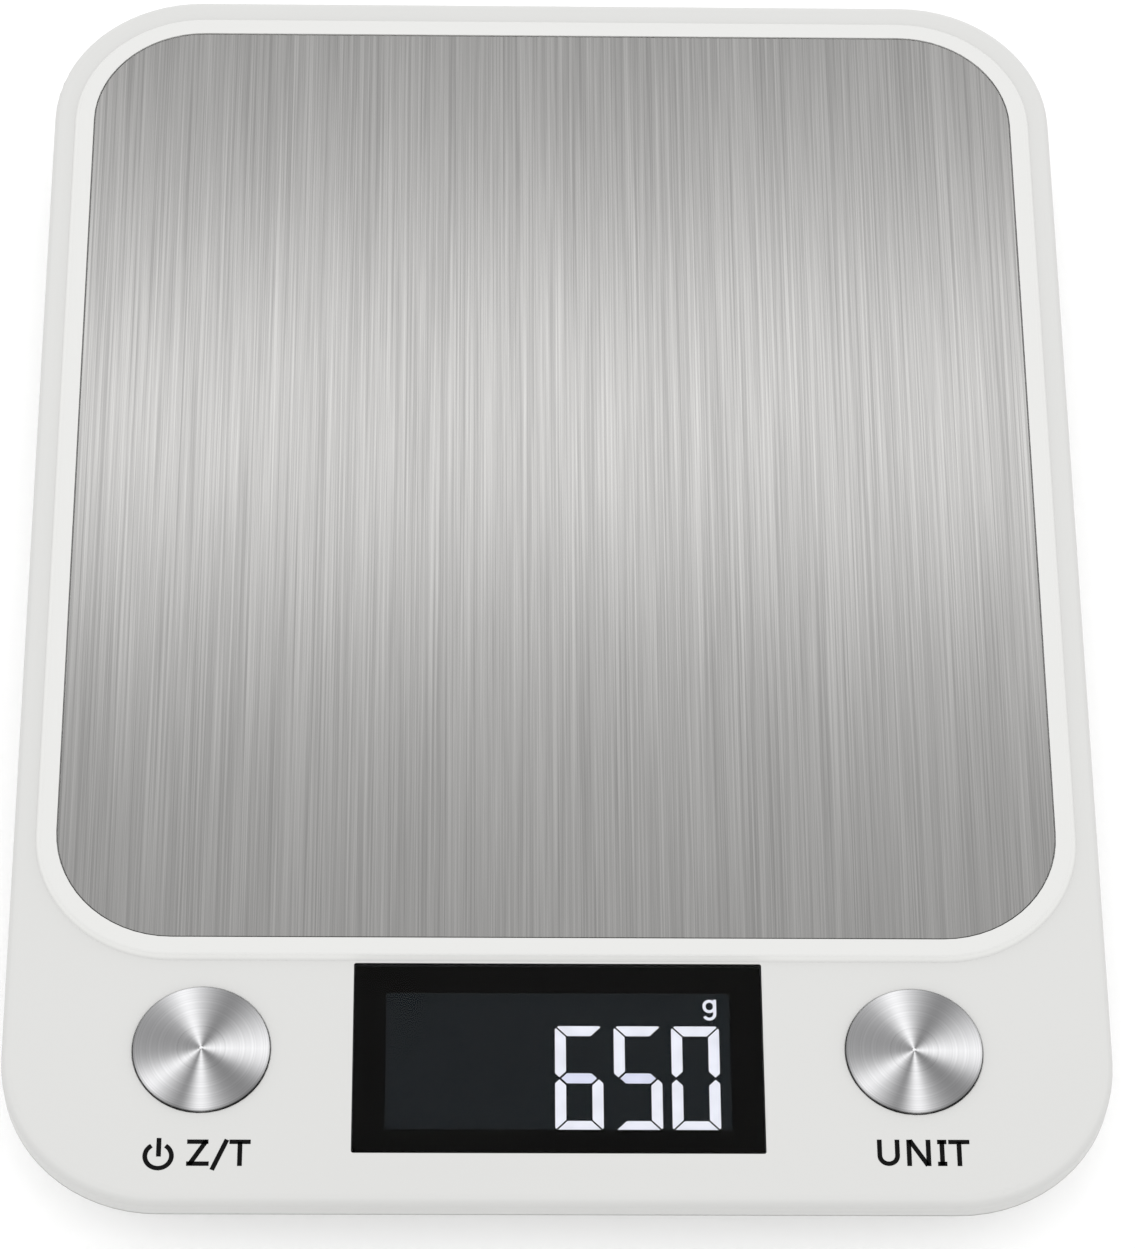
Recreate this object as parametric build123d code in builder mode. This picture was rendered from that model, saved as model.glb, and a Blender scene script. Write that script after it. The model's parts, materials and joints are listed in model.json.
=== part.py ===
"""Flat kitchen scale: a two-part plastic case with a bonded steel plate, on four weighing feet.

Millimetres. The origin is under the middle of the case on the surface it stands on.
+Z is up, the display and the two buttons are at the -Y end, and +X is to the right.
"""
import os

from build123d import *

# Case
body_width = 180.0
body_length = 240.0
corner_radius = 26.0
underside_z = 2.5
parting_z = 12.5
panel_z = 17.0
rim_z = 18.0
ceiling_z = 15.5
top_wall = 2.0
panel_round = 1.8
parting_round = 0.4
underside_inset = 11.0
flank_wall = 3.4
floor_thickness = 2.0
floor_z = underside_z + floor_thickness
underside_round = 0.8
tongue_gap = 0.15
tongue_thickness = 1.2
tongue_height = 1.5

# Raised rim and steel plate
rim_width = 171.0
rim_length = 190.8
rim_centre_y = 19.2
rim_radius = 22.3
rim_round = 0.6
rim_slope = 0.8
plate_width = 165.2
plate_length = 184.4
plate_radius = 19.4
plate_thickness = 0.5
plate_below_rim = 0.1
plate_gap = 0.2
adhesive_thickness = 0.15
adhesive_inset = 2.0
plate_top_z = rim_z - plate_below_rim
plate_bottom_z = plate_top_z - plate_thickness
plate_floor_z = plate_bottom_z - adhesive_thickness

# Display
lens_width = 66.3
lens_height = 33.7
lens_radius = 0.3
lens_thickness = 1.0
lens_gap = 0.1
lens_tape = 0.2
lens_tape_width = 2.6
lens_centre_y = -94.3
lens_boss_wall = 1.5
lens_boss_z = 14.8
lens_bottom_z = panel_z - lens_thickness
lens_floor_z = lens_bottom_z - lens_tape
window_width = 58.0
window_height = 25.6
window_centre_y = -94.0
glass_width = 60.0
glass_height = 28.0
glass_thickness = 1.6
glass_step = 2.2
glass_bottom_z = lens_boss_z - glass_thickness
holder_wall = 1.4
holder_gap = 0.1
strip_width = 1.8
strip_length = 56.0
light_width = 58.6
light_margin = 2.9

# Main board
board_half_width = 70.0
board_back_y = -74.0
board_front_y = -111.0
board_corner = 6.0
board_thickness = 1.6
board_top_z = 10.2
board_z = board_top_z - board_thickness
board_boss_radius = 2.2
board_screw_radius = 0.9
board_head_radius = 1.9
board_head_height = 1.2
board_screw_length = 3.5
board_screw_points = [(x, y) for x in (-38.0, 38.0) for y in (-77.5, -107.0)]
board_screw_points += [(-66.5, -77.5), (66.5, -77.5)]
chip_radius = 5.0
chip_height = 1.2
chip_round = 0.9
chip_y = -92.0

# Buttons
button_x = 57.65
button_y = -93.07
cap_radius = 11.06
cap_thickness = 1.1
cap_proud = 0.6
cap_round = 0.25
button_hole_radius = 11.22
button_hole_chamfer = 0.12
button_travel = 0.5
cap_bottom_z = panel_z + cap_proud - cap_thickness
plunger_radius = 10.7
flange_radius = 12.4
flange_top_z = 15.0
flange_thickness = 0.8
flange_bottom_z = flange_top_z - flange_thickness
flexure_outer = 15.5
flexure_ring = 1.3
flexure_inner_ring = 1.6
flexure_arm = 1.8
flexure_arms = 3
switch_size = 6.0
switch_top_z = 13.5
switch_bore_radius = 1.85
switch_stem_radius = 1.75
switch_stem_depth = 0.5
switch_bore_depth = switch_stem_depth + button_travel + 0.1

# Weighing feet, one near each corner
foot_x = 58.0
foot_y = 86.0
foot_corners = {
    "front_left": (-1, -1),
    "front_right": (1, -1),
    "rear_left": (-1, 1),
    "rear_right": (1, 1),
}
foot_hole_radius = 13.5
foot_cup_radius = 13.0
foot_cup_bottom_z = 1.0
foot_cup_top_z = 4.0
foot_cup_round = 0.6
foot_pad_radius = 11.5
foot_pad_inset = 0.8
foot_pad_round = 0.4
foot_pad_ring_inner = 6.0
foot_pad_ring_outer = 7.2
foot_pad_ring_depth = 0.5
foot_post_radius = 3.0
foot_stake_radius = 1.2
foot_stake_head_radius = 2.2
foot_stake_head_height = 0.7
cell_size = 30.0
cell_thickness = 1.2
cell_bottom_z = 5.0
cell_top_z = cell_bottom_z + cell_thickness
cell_tongue = 9.0
cell_slot = 1.5
cell_hole_radius = 1.3
gauge_width = 4.0
gauge_length = 6.0
gauge_height = 0.45
gauge_offset = 11.0
retainer_size = 32.0
retainer_lip = 3.0
retainer_gap = 0.1
retainer_top_z = 7.0
retainer_notch = 6.6
ear_offset = 19.0
ear_shift = 8.0
ear_radius = 3.0
ear_screw_radius = 0.9
ear_head_radius = 1.8
ear_head_height = 1.0
ear_screw_length = 2.2

# Screws that close the case
case_screw_points = [(68.0, 0.0), (32.0, 102.0), (24.0, -64.0)]
case_screw_points += [(-x, y) for x, y in case_screw_points]
case_boss_radius = 3.7
case_boss_top_z = 9.5
case_head_radius = 2.4
case_head_height = 1.6
case_head_seat_z = 5.2
case_head_gap = 0.3
case_screw_radius = 1.1
case_screw_top_z = 13.5
case_clearance = 0.2
cross_length = 2.6
cross_width = 0.6
cross_depth = 0.7

# Battery bay, two size AAA cells side by side
bay_y = 12.0
bay_half_length = 26.0
bay_half_width = 11.5
bay_wall = 1.4
bay_ceiling_z = 14.3
bay_top_z = 15.3
battery_radius = 5.25
battery_length = 44.5
battery_nub_radius = 1.9
battery_nub_length = 1.0
battery_round = 0.5
battery_spacing = 11.2
battery_z = 8.95
contact_thickness = 0.3
contact_width = 9.0
contact_bottom_z = 4.9
contact_height = 8.4
contact_bump_height = 1.5
contact_bump_radius = 3.0
contact_bump_tip_radius = 2.2
contact_tail_width = 2.0
contact_tail_height = 0.7
contact_tail_length = 1.6
spring_wire = 0.35
spring_turns = 4
spring_radius = 4.0
spring_cone = -15.0

# Battery door, turning on two short pins at its -X end
door_hinge_x = -29.2
door_barrel_radius = 1.0
door_hinge_z = underside_z + door_barrel_radius
door_end_x = 28.5
door_half_width = 13.0
door_thickness = 1.0
door_gap = 0.3
door_top_gap = 0.2
door_corner = 1.2
hinge_pin_radius = 0.6
hinge_pin_clearance = 0.05
hinge_pin_length = 1.2
hinge_block_top_z = 6.2
hinge_block_length = 4.2
hinge_block_half_width = 15.8
grip_count = 4
grip_pitch = 1.8
grip_width = 0.8
grip_depth = 0.3
grip_length = 14.0
grip_x = 21.0
notch_radius = 9.0
notch_depth = 1.1

# Ribs and wires
rib_thickness = 1.2
lower_rib_top_z = 6.65
lower_rib_y = (-45.0, -10.0, 42.0, 58.0)
lower_rib_length = 150.0
upper_rib_bottom_z = 13.6
upper_rib_y = (-50.0, -26.0, 46.0, 70.0, 94.0)
upper_rib_length = 160.0
upper_rib_x = (-75.0, -45.0, 45.0, 75.0)
upper_rib_start_y = -58.0
upper_rib_end_y = 104.0
sensor_wire = 0.25
sensor_pitch = 1.2
sensor_lane_x = 39.5
sensor_turn_y = -50.0
sensor_pad_x = 32.2
sensor_front_pad_x = 39.6
sensor_bend = 3.0
sensor_rise_bend = 1.0
wire_pad_y = -76.5
wire_line_y = -66.0
power_wire = 0.6
power_lane_x = (-33.0, -36.0)
power_turn_y = (-30.0, -31.5)
power_pad_x = (-10.0, -13.0)
power_line_y = (-58.0, -59.5)
power_bend = 3.0
power_rise_bend = 0.7

os.makedirs("parts", exist_ok=True)


def save(part, label):
    """Name a finished piece and write it to its own file."""
    part.label = label
    export_step(part, f"parts/{label}.step")


def outline(inset):
    """Width, length and corner radius of the case outline moved inwards."""
    return body_width - 2 * inset, body_length - 2 * inset, corner_radius - inset


def flank_inset(z):
    """How far the sloping underside stands in from the case outline at a height."""
    return underside_inset * (parting_z - z) / (parting_z - underside_z)


def foot_centre(corner):
    """Plan position of a foot."""
    side, end = foot_corners[corner]
    return side * foot_x, end * foot_y


def ear_points(corner):
    """Plan positions of the two screws that hold a load cell's retainer."""
    side, end = foot_corners[corner]
    x, y = foot_centre(corner)
    return [(x, y - end * ear_offset), (x - side * ear_offset, y + end * ear_shift)]


foot_points = [foot_centre(corner) for corner in foot_corners]
all_ear_points = [point for corner in foot_corners for point in ear_points(corner)]
button_points = [(-button_x, button_y), (button_x, button_y)]
battery_lines = [bay_y - battery_spacing / 2, bay_y + battery_spacing / 2]

# ---------------------------------------------------------------- case
with BuildPart() as top_cover:
    with BuildSketch(Plane.XY.offset(parting_z)):
        RectangleRounded(*outline(0))
    extrude(amount=panel_z - parting_z)
    fillet(top_cover.faces().sort_by(Axis.Z)[-1].edges(), radius=panel_round)
    fillet(top_cover.faces().sort_by(Axis.Z)[0].edges(), radius=parting_round)
    # The raised rim stands on a short slope
    with BuildSketch(Plane.XY.offset(panel_z)):
        with Locations((0, rim_centre_y)):
            RectangleRounded(rim_width + 2 * rim_slope, rim_length + 2 * rim_slope, rim_radius + rim_slope)
    with BuildSketch(Plane.XY.offset(rim_z)):
        with Locations((0, rim_centre_y)):
            RectangleRounded(rim_width, rim_length, rim_radius)
    loft(ruled=True)
    fillet(top_cover.faces().sort_by(Axis.Z)[-1].edges(), radius=rim_round)
    with BuildSketch(Plane.XY.offset(parting_z)):
        RectangleRounded(*outline(top_wall))
    extrude(amount=ceiling_z - parting_z, mode=Mode.SUBTRACT)
    # Ribs, the rim round the window and the screw bosses hang from the ceiling
    with BuildSketch(Plane.XY.offset(upper_rib_bottom_z)):
        with Locations(*[(0, y) for y in upper_rib_y]):
            Rectangle(upper_rib_length, rib_thickness)
        with Locations(*[(x, (upper_rib_start_y + upper_rib_end_y) / 2) for x in upper_rib_x]):
            Rectangle(rib_thickness, upper_rib_end_y - upper_rib_start_y)
    extrude(amount=ceiling_z - upper_rib_bottom_z)
    with BuildSketch(Plane.XY.offset(lens_boss_z)):
        with Locations((0, lens_centre_y)):
            Rectangle(lens_width + 2 * lens_boss_wall, lens_height + 2 * lens_boss_wall)
    extrude(amount=ceiling_z - lens_boss_z)
    with BuildSketch(Plane.XY.offset(case_boss_top_z)):
        with Locations(*case_screw_points):
            Circle(case_boss_radius)
    extrude(amount=ceiling_z - case_boss_top_z)
    with BuildSketch(Plane.XY.offset(board_top_z)):
        with Locations(*board_screw_points):
            Circle(board_boss_radius)
    extrude(amount=ceiling_z - board_top_z)
    # Recess for the plate, seat and window of the display, button holes, screw holes
    with BuildSketch(Plane.XY.offset(plate_floor_z)):
        with Locations((0, rim_centre_y)):
            RectangleRounded(
                plate_width + 2 * plate_gap, plate_length + 2 * plate_gap, plate_radius + plate_gap
            )
    extrude(amount=rim_z - plate_floor_z, mode=Mode.SUBTRACT)
    with BuildSketch(Plane.XY.offset(lens_floor_z)):
        with Locations((0, lens_centre_y)):
            RectangleRounded(lens_width + 2 * lens_gap, lens_height + 2 * lens_gap, lens_radius + lens_gap)
    extrude(amount=panel_z - lens_floor_z, mode=Mode.SUBTRACT)
    with BuildSketch(Plane.XY.offset(lens_boss_z)):
        with Locations((0, window_centre_y)):
            Rectangle(window_width, window_height)
    extrude(amount=panel_z - lens_boss_z, mode=Mode.SUBTRACT)
    with BuildSketch(Plane.XY.offset(ceiling_z)):
        with Locations(*button_points):
            Circle(button_hole_radius)
    extrude(amount=panel_z - ceiling_z, mode=Mode.SUBTRACT)
    hole_edges = top_cover.edges().filter_by(GeomType.CIRCLE).filter_by_position(Axis.Z, panel_z, panel_z)
    rims = [edge for edge in hole_edges if abs(edge.radius - button_hole_radius) < button_hole_chamfer]
    chamfer(rims, button_hole_chamfer)
    with BuildSketch(Plane.XY.offset(case_boss_top_z)):
        with Locations(*case_screw_points):
            Circle(case_screw_radius)
    extrude(amount=case_screw_top_z - case_boss_top_z, mode=Mode.SUBTRACT)
    with BuildSketch(Plane.XY.offset(board_top_z)):
        with Locations(*board_screw_points):
            Circle(board_screw_radius)
    extrude(amount=board_screw_length, mode=Mode.SUBTRACT)
save(top_cover.part, "top_cover")

with BuildPart() as bottom_cover:
    with BuildSketch(Plane.XY.offset(underside_z)):
        RectangleRounded(*outline(underside_inset))
    with BuildSketch(Plane.XY.offset(parting_z)):
        RectangleRounded(*outline(0))
    loft(ruled=True)
    fillet(bottom_cover.faces().sort_by(Axis.Z)[0].edges(), radius=underside_round)
    with BuildSketch(Plane.XY.offset(floor_z)):
        RectangleRounded(*outline(flank_inset(floor_z) + flank_wall))
    with BuildSketch(Plane.XY.offset(parting_z)):
        RectangleRounded(*outline(flank_wall))
    loft(ruled=True, mode=Mode.SUBTRACT)
    # Tongue that locates the top cover
    with BuildSketch(Plane.XY.offset(parting_z)):
        RectangleRounded(*outline(top_wall + tongue_gap))
        RectangleRounded(*outline(top_wall + tongue_gap + tongue_thickness), mode=Mode.SUBTRACT)
    extrude(amount=tongue_height)
    # Ribs, the walls of the battery bay, its hinge block and the screw bosses stand on the floor
    with BuildSketch(Plane.XY.offset(floor_z)):
        with Locations(*[(0, y) for y in lower_rib_y]):
            Rectangle(lower_rib_length, rib_thickness)
    extrude(amount=lower_rib_top_z - floor_z)
    with BuildSketch(Plane.XY.offset(floor_z)):
        with Locations((0, bay_y)):
            Rectangle(2 * (bay_half_length + bay_wall), 2 * (bay_half_width + bay_wall))
    extrude(amount=bay_top_z - floor_z)
    with BuildSketch(Plane.XY.offset(floor_z)):
        with Locations((door_hinge_x, bay_y)):
            Rectangle(hinge_block_length, 2 * hinge_block_half_width)
    extrude(amount=hinge_block_top_z - floor_z)
    with BuildSketch(Plane.XY.offset(floor_z)):
        with Locations(*case_screw_points):
            Circle(case_boss_radius)
    extrude(amount=case_boss_top_z - floor_z)
    with BuildSketch(Plane.XY.offset(floor_z)):
        with Locations(*all_ear_points):
            Circle(ear_radius)
    extrude(amount=cell_top_z - floor_z)
    with BuildSketch(Plane.XY.offset(floor_z)):
        with Locations(*foot_points):
            Rectangle(cell_size, cell_size)
    extrude(amount=cell_bottom_z - floor_z)
    # Openings: feet, battery bay, door, hinge and screws
    with BuildSketch(Plane.XY.offset(underside_z)):
        with Locations(*foot_points):
            Circle(foot_hole_radius)
    extrude(amount=cell_bottom_z - underside_z, mode=Mode.SUBTRACT)
    with BuildSketch(Plane.XY.offset(underside_z)):
        with Locations((0, bay_y)):
            Rectangle(2 * bay_half_length, 2 * bay_half_width)
    extrude(amount=bay_ceiling_z - underside_z, mode=Mode.SUBTRACT)
    with BuildSketch(Plane.XY.offset(underside_z)):
        with Locations(((door_hinge_x + door_end_x + door_gap) / 2, bay_y)):
            Rectangle(door_end_x + door_gap - door_hinge_x, 2 * (door_half_width + door_gap))
        with Locations((door_hinge_x, bay_y)):
            Rectangle(2 * (door_barrel_radius + door_gap), 2 * (door_half_width + door_gap))
    extrude(amount=door_thickness + door_top_gap, mode=Mode.SUBTRACT)
    with BuildSketch(Plane.XZ.offset(-bay_y)):
        with Locations((door_hinge_x, door_hinge_z)):
            Circle(door_barrel_radius + door_gap)
    extrude(amount=door_half_width + door_gap, both=True, mode=Mode.SUBTRACT)
    with BuildSketch(Plane.XZ.offset(-bay_y)):
        with Locations((door_hinge_x, door_hinge_z)):
            Circle(hinge_pin_radius + hinge_pin_clearance)
    extrude(amount=door_half_width + hinge_pin_length + door_gap, both=True, mode=Mode.SUBTRACT)
    with BuildSketch(Plane.XY.offset(underside_z)):
        with Locations((door_end_x, bay_y)):
            Circle(notch_radius)
    extrude(amount=notch_depth, mode=Mode.SUBTRACT)
    with BuildSketch(Plane.XY.offset(underside_z)):
        with Locations(*case_screw_points):
            Circle(case_head_radius + case_head_gap)
    extrude(amount=case_head_seat_z - underside_z, mode=Mode.SUBTRACT)
    with BuildSketch(Plane.XY.offset(case_head_seat_z)):
        with Locations(*case_screw_points):
            Circle(case_screw_radius + case_clearance)
    extrude(amount=case_boss_top_z - case_head_seat_z, mode=Mode.SUBTRACT)
    with BuildSketch(Plane.XY.offset(cell_top_z)):
        with Locations(*all_ear_points):
            Circle(ear_screw_radius)
    extrude(amount=-ear_screw_length, mode=Mode.SUBTRACT)
    # Slots for the two solder tails in the -X wall of the bay
    with BuildSketch(Plane.XY.offset(lower_rib_top_z)):
        with Locations(*[(-bay_half_length - bay_wall / 2, y) for y in battery_lines]):
            Rectangle(bay_wall, contact_tail_width)
    extrude(amount=2 * power_wire, mode=Mode.SUBTRACT)
save(bottom_cover.part, "bottom_cover")

with BuildPart() as weighing_plate:
    with BuildSketch(Plane.XY.offset(plate_bottom_z)):
        with Locations((0, rim_centre_y)):
            RectangleRounded(plate_width, plate_length, plate_radius)
    extrude(amount=plate_thickness)
save(weighing_plate.part, "weighing_plate")

with BuildPart() as plate_adhesive:
    with BuildSketch(Plane.XY.offset(plate_floor_z)):
        with Locations((0, rim_centre_y)):
            RectangleRounded(
                plate_width - 2 * adhesive_inset,
                plate_length - 2 * adhesive_inset,
                plate_radius - adhesive_inset,
            )
    extrude(amount=adhesive_thickness)
save(plate_adhesive.part, "plate_adhesive")


def screw(length, radius, head_radius, head_height):
    """A screw with a cross recess: its head is under height 0, where it seats, and its shank above."""
    with BuildPart() as one_screw:
        with BuildSketch(Plane.XY.offset(-head_height)):
            Circle(head_radius)
        extrude(amount=head_height)
        with BuildSketch():
            Circle(radius)
        extrude(amount=length)
        with BuildSketch(Plane.XY.offset(-head_height)):
            Rectangle(cross_length, cross_width)
            Rectangle(cross_width, cross_length)
        extrude(amount=cross_depth, mode=Mode.SUBTRACT)
    return one_screw.part


def save_screws(one_screw, places, label):
    """Write copies of one screw as separate solids in one node."""
    with BuildPart() as screws:
        with Locations(*places):
            add(one_screw)
    save(screws.part, label)


case_screw = screw(case_screw_top_z - case_head_seat_z, case_screw_radius, case_head_radius, case_head_height)
save_screws(case_screw, [(x, y, case_head_seat_z) for x, y in case_screw_points], "case_screws")
board_screw = screw(
    board_thickness + board_screw_length, board_screw_radius, board_head_radius, board_head_height
)
save_screws(board_screw, [(x, y, board_z) for x, y in board_screw_points], "board_screws")
ear_screw = screw(
    retainer_top_z - cell_top_z + ear_screw_length, ear_screw_radius, ear_head_radius, ear_head_height
)
ear_places = [Location((x, y, retainer_top_z), (180, 0, 0)) for x, y in all_ear_points]
save_screws(ear_screw, ear_places, "retainer_screws")

# ---------------------------------------------------------------- display
with BuildPart() as display_lens:
    with BuildSketch(Plane.XY.offset(lens_bottom_z)):
        with Locations((0, lens_centre_y)):
            RectangleRounded(lens_width, lens_height, lens_radius)
    extrude(amount=lens_thickness)
save(display_lens.part, "display_lens")

with BuildPart() as lens_adhesive:
    with BuildSketch(Plane.XY.offset(lens_floor_z)):
        with Locations((0, lens_centre_y)):
            Rectangle(lens_width - 2 * lens_gap, lens_height - 2 * lens_gap)
            Rectangle(lens_width - 2 * lens_tape_width, lens_height - 2 * lens_tape_width, mode=Mode.SUBTRACT)
        with Locations((0, window_centre_y)):
            Rectangle(window_width, window_height, mode=Mode.SUBTRACT)
    extrude(amount=lens_tape)
save(lens_adhesive.part, "lens_adhesive")

# Two glass sheets, the lower one longer at the back so that its contacts are bare
with BuildPart() as lcd_panel:
    with BuildSketch(Plane.XY.offset(glass_bottom_z)):
        with Locations((0, window_centre_y)):
            Rectangle(glass_width, glass_height - glass_step)
    extrude(amount=glass_thickness / 2)
    with BuildSketch(Plane.XY.offset(glass_bottom_z + glass_thickness / 2)):
        with Locations((0, window_centre_y)):
            Rectangle(glass_width, glass_height)
    extrude(amount=glass_thickness / 2)
save(lcd_panel.part, "lcd_panel")

holder_height = glass_bottom_z - board_top_z
strip_offset = glass_height / 2 - strip_width / 2 - holder_gap
with BuildPart() as lcd_connector_strips:
    with BuildSketch(Plane.XY.offset(board_top_z)):
        with Locations((0, window_centre_y - strip_offset), (0, window_centre_y + strip_offset)):
            Rectangle(strip_length, strip_width)
    extrude(amount=holder_height)
save(lcd_connector_strips.part, "lcd_connector_strips")

with BuildPart() as lcd_backlight:
    with BuildSketch(Plane.XY.offset(board_top_z)):
        with Locations((0, window_centre_y)):
            Rectangle(light_width, glass_height - 2 * light_margin)
    extrude(amount=holder_height)
save(lcd_backlight.part, "lcd_backlight")

with BuildPart() as lcd_frame:
    with BuildSketch(Plane.XY.offset(board_top_z)):
        with Locations((0, window_centre_y)):
            Rectangle(glass_width + 2 * holder_wall, glass_height + 2 * holder_wall)
            Rectangle(glass_width, glass_height, mode=Mode.SUBTRACT)
    extrude(amount=holder_height)
save(lcd_frame.part, "lcd_frame")

# ---------------------------------------------------------------- main board
with BuildPart() as main_board:
    with BuildSketch(Plane.XY.offset(board_z)):
        with Locations((0, (board_back_y + board_front_y) / 2)):
            RectangleRounded(2 * board_half_width, board_back_y - board_front_y, board_corner)
        with Locations(*board_screw_points):
            Circle(board_screw_radius, mode=Mode.SUBTRACT)
    extrude(amount=board_thickness)
save(main_board.part, "main_board")

with BuildPart() as controller_chip:
    with BuildSketch(Plane.XY.offset(board_z - chip_height)):
        with Locations((0, chip_y)):
            Circle(chip_radius)
    extrude(amount=chip_height)
    fillet(controller_chip.faces().sort_by(Axis.Z)[0].edges(), radius=chip_round)
save(controller_chip.part, "controller_chip")

# Small parts under the board: plan position, plan size and height of each
component_blocks = [
    (-16.0, -86.0, 3.2, 1.6, 0.9),
    (-16.0, -90.0, 3.2, 1.6, 0.9),
    (-16.0, -94.0, 2.0, 1.2, 0.7),
    (-16.0, -97.0, 2.0, 1.2, 0.7),
    (16.0, -86.0, 5.0, 4.0, 1.1),
    (16.0, -92.0, 2.0, 1.2, 0.7),
    (16.0, -95.0, 2.0, 1.2, 0.7),
    (16.0, -99.0, 8.0, 3.4, 1.3),
    (0.0, -103.0, 3.2, 2.6, 1.0),
]
with BuildPart() as board_components:
    for x, y, width, depth, height in component_blocks:
        with BuildSketch(Plane.XY.offset(board_z - height)):
            with Locations((x, y)):
                Rectangle(width, depth)
        extrude(amount=height)
save(board_components.part, "board_components")


# ---------------------------------------------------------------- buttons
def make_button(x, y, side):
    """One push button: its metal cap, plunger, sprung ring, and the switch under it."""
    with BuildPart() as button_cap:
        with BuildSketch(Plane.XY.offset(cap_bottom_z)):
            with Locations((x, y)):
                Circle(cap_radius)
        extrude(amount=cap_thickness)
        fillet(button_cap.faces().sort_by(Axis.Z)[-1].edges(), radius=cap_round)
    save(button_cap.part, f"button_cap_{side}")

    with BuildPart() as button_plunger:
        with BuildSketch(Plane.XY.offset(flange_bottom_z)):
            with Locations((x, y)):
                Circle(flange_radius)
        extrude(amount=flange_thickness)
        with BuildSketch(Plane.XY.offset(flange_top_z)):
            with Locations((x, y)):
                Circle(plunger_radius)
        extrude(amount=cap_bottom_z - flange_top_z)
    save(button_plunger.part, f"button_plunger_{side}")

    # Two rings joined by straight arms: the outer one is fixed under the case, the inner one bends down
    arm_length = flexure_outer - plunger_radius - holder_gap - flexure_ring
    with BuildPart() as button_flexure:
        with BuildSketch(Plane.XY.offset(flange_top_z)):
            with Locations((x, y)):
                Circle(flexure_outer)
                Circle(flexure_outer - flexure_ring, mode=Mode.SUBTRACT)
                with PolarLocations(plunger_radius + holder_gap + arm_length / 2, flexure_arms):
                    Rectangle(arm_length + flexure_ring, flexure_arm)
                Circle(plunger_radius + holder_gap + flexure_inner_ring)
                Circle(plunger_radius + holder_gap, mode=Mode.SUBTRACT)
        extrude(amount=ceiling_z - flange_top_z)
    save(button_flexure.part, f"button_flexure_{side}")

    with BuildPart() as switch_body:
        with BuildSketch(Plane.XY.offset(board_top_z)):
            with Locations((x, y)):
                Rectangle(switch_size, switch_size)
        extrude(amount=switch_top_z - board_top_z)
        with BuildSketch(Plane.XY.offset(switch_top_z)):
            with Locations((x, y)):
                Circle(switch_bore_radius)
        extrude(amount=-switch_bore_depth, mode=Mode.SUBTRACT)
    save(switch_body.part, f"switch_body_{side}")

    with BuildPart() as switch_stem:
        with BuildSketch(Plane.XY.offset(switch_top_z - switch_stem_depth)):
            with Locations((x, y)):
                Circle(switch_stem_radius)
        extrude(amount=flange_bottom_z - switch_top_z + switch_stem_depth)
    save(switch_stem.part, f"switch_stem_{side}")


make_button(-button_x, button_y, "left")
make_button(button_x, button_y, "right")


# ---------------------------------------------------------------- weighing feet
def make_foot(corner):
    """A foot: rubber pad in a plastic cup whose post is staked to the load cell."""
    x, y = foot_centre(corner)
    pad_top_z = foot_cup_bottom_z + foot_pad_inset
    with BuildPart() as foot_cup:
        with BuildSketch(Plane.XY.offset(foot_cup_bottom_z)):
            with Locations((x, y)):
                Circle(foot_cup_radius)
        extrude(amount=foot_cup_top_z - foot_cup_bottom_z)
        fillet(foot_cup.faces().sort_by(Axis.Z)[0].edges(), radius=foot_cup_round)
        for z, radius, top_z in (
            (foot_cup_top_z, foot_post_radius, cell_bottom_z),
            (cell_bottom_z, foot_stake_radius, cell_top_z),
            (cell_top_z, foot_stake_head_radius, cell_top_z + foot_stake_head_height),
        ):
            with BuildSketch(Plane.XY.offset(z)):
                with Locations((x, y)):
                    Circle(radius)
            extrude(amount=top_z - z)
        with BuildSketch(Plane.XY.offset(foot_cup_bottom_z)):
            with Locations((x, y)):
                Circle(foot_pad_radius)
        extrude(amount=foot_pad_inset, mode=Mode.SUBTRACT)
    save(foot_cup.part, f"foot_cup_{corner}")

    with BuildPart() as foot_pad:
        with BuildSketch():
            with Locations((x, y)):
                Circle(foot_pad_radius)
        extrude(amount=pad_top_z)
        fillet(foot_pad.faces().sort_by(Axis.Z)[0].edges(), radius=foot_pad_round)
        with BuildSketch():
            with Locations((x, y)):
                Circle(foot_pad_ring_outer)
                Circle(foot_pad_ring_inner, mode=Mode.SUBTRACT)
        extrude(amount=foot_pad_ring_depth, mode=Mode.SUBTRACT)
    save(foot_pad.part, f"foot_pad_{corner}")


def make_load_cell(corner):
    """A stamped steel load cell: a square frame and a tongue joined on the side facing the middle."""
    x, y = foot_centre(corner)
    side = foot_corners[corner][0]
    slot_centre = cell_tongue + cell_slot / 2
    with BuildPart() as load_cell:
        with BuildSketch(Plane.XY.offset(cell_bottom_z)):
            with Locations((x, y)):
                Rectangle(cell_size, cell_size)
                Circle(cell_hole_radius, mode=Mode.SUBTRACT)
            with Locations((x, y - slot_centre), (x, y + slot_centre)):
                Rectangle(2 * cell_tongue, cell_slot, mode=Mode.SUBTRACT)
            with Locations((x + side * slot_centre, y)):
                Rectangle(cell_slot, 2 * (cell_tongue + cell_slot), mode=Mode.SUBTRACT)
        extrude(amount=cell_thickness)
    save(load_cell.part, f"load_cell_{corner}")

    with BuildPart() as strain_gauge:
        with BuildSketch(Plane.XY.offset(cell_top_z)):
            with Locations((x - side * gauge_offset, y)):
                Rectangle(gauge_width, gauge_length)
        extrude(amount=gauge_height)
    save(strain_gauge.part, f"strain_gauge_{corner}")


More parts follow.
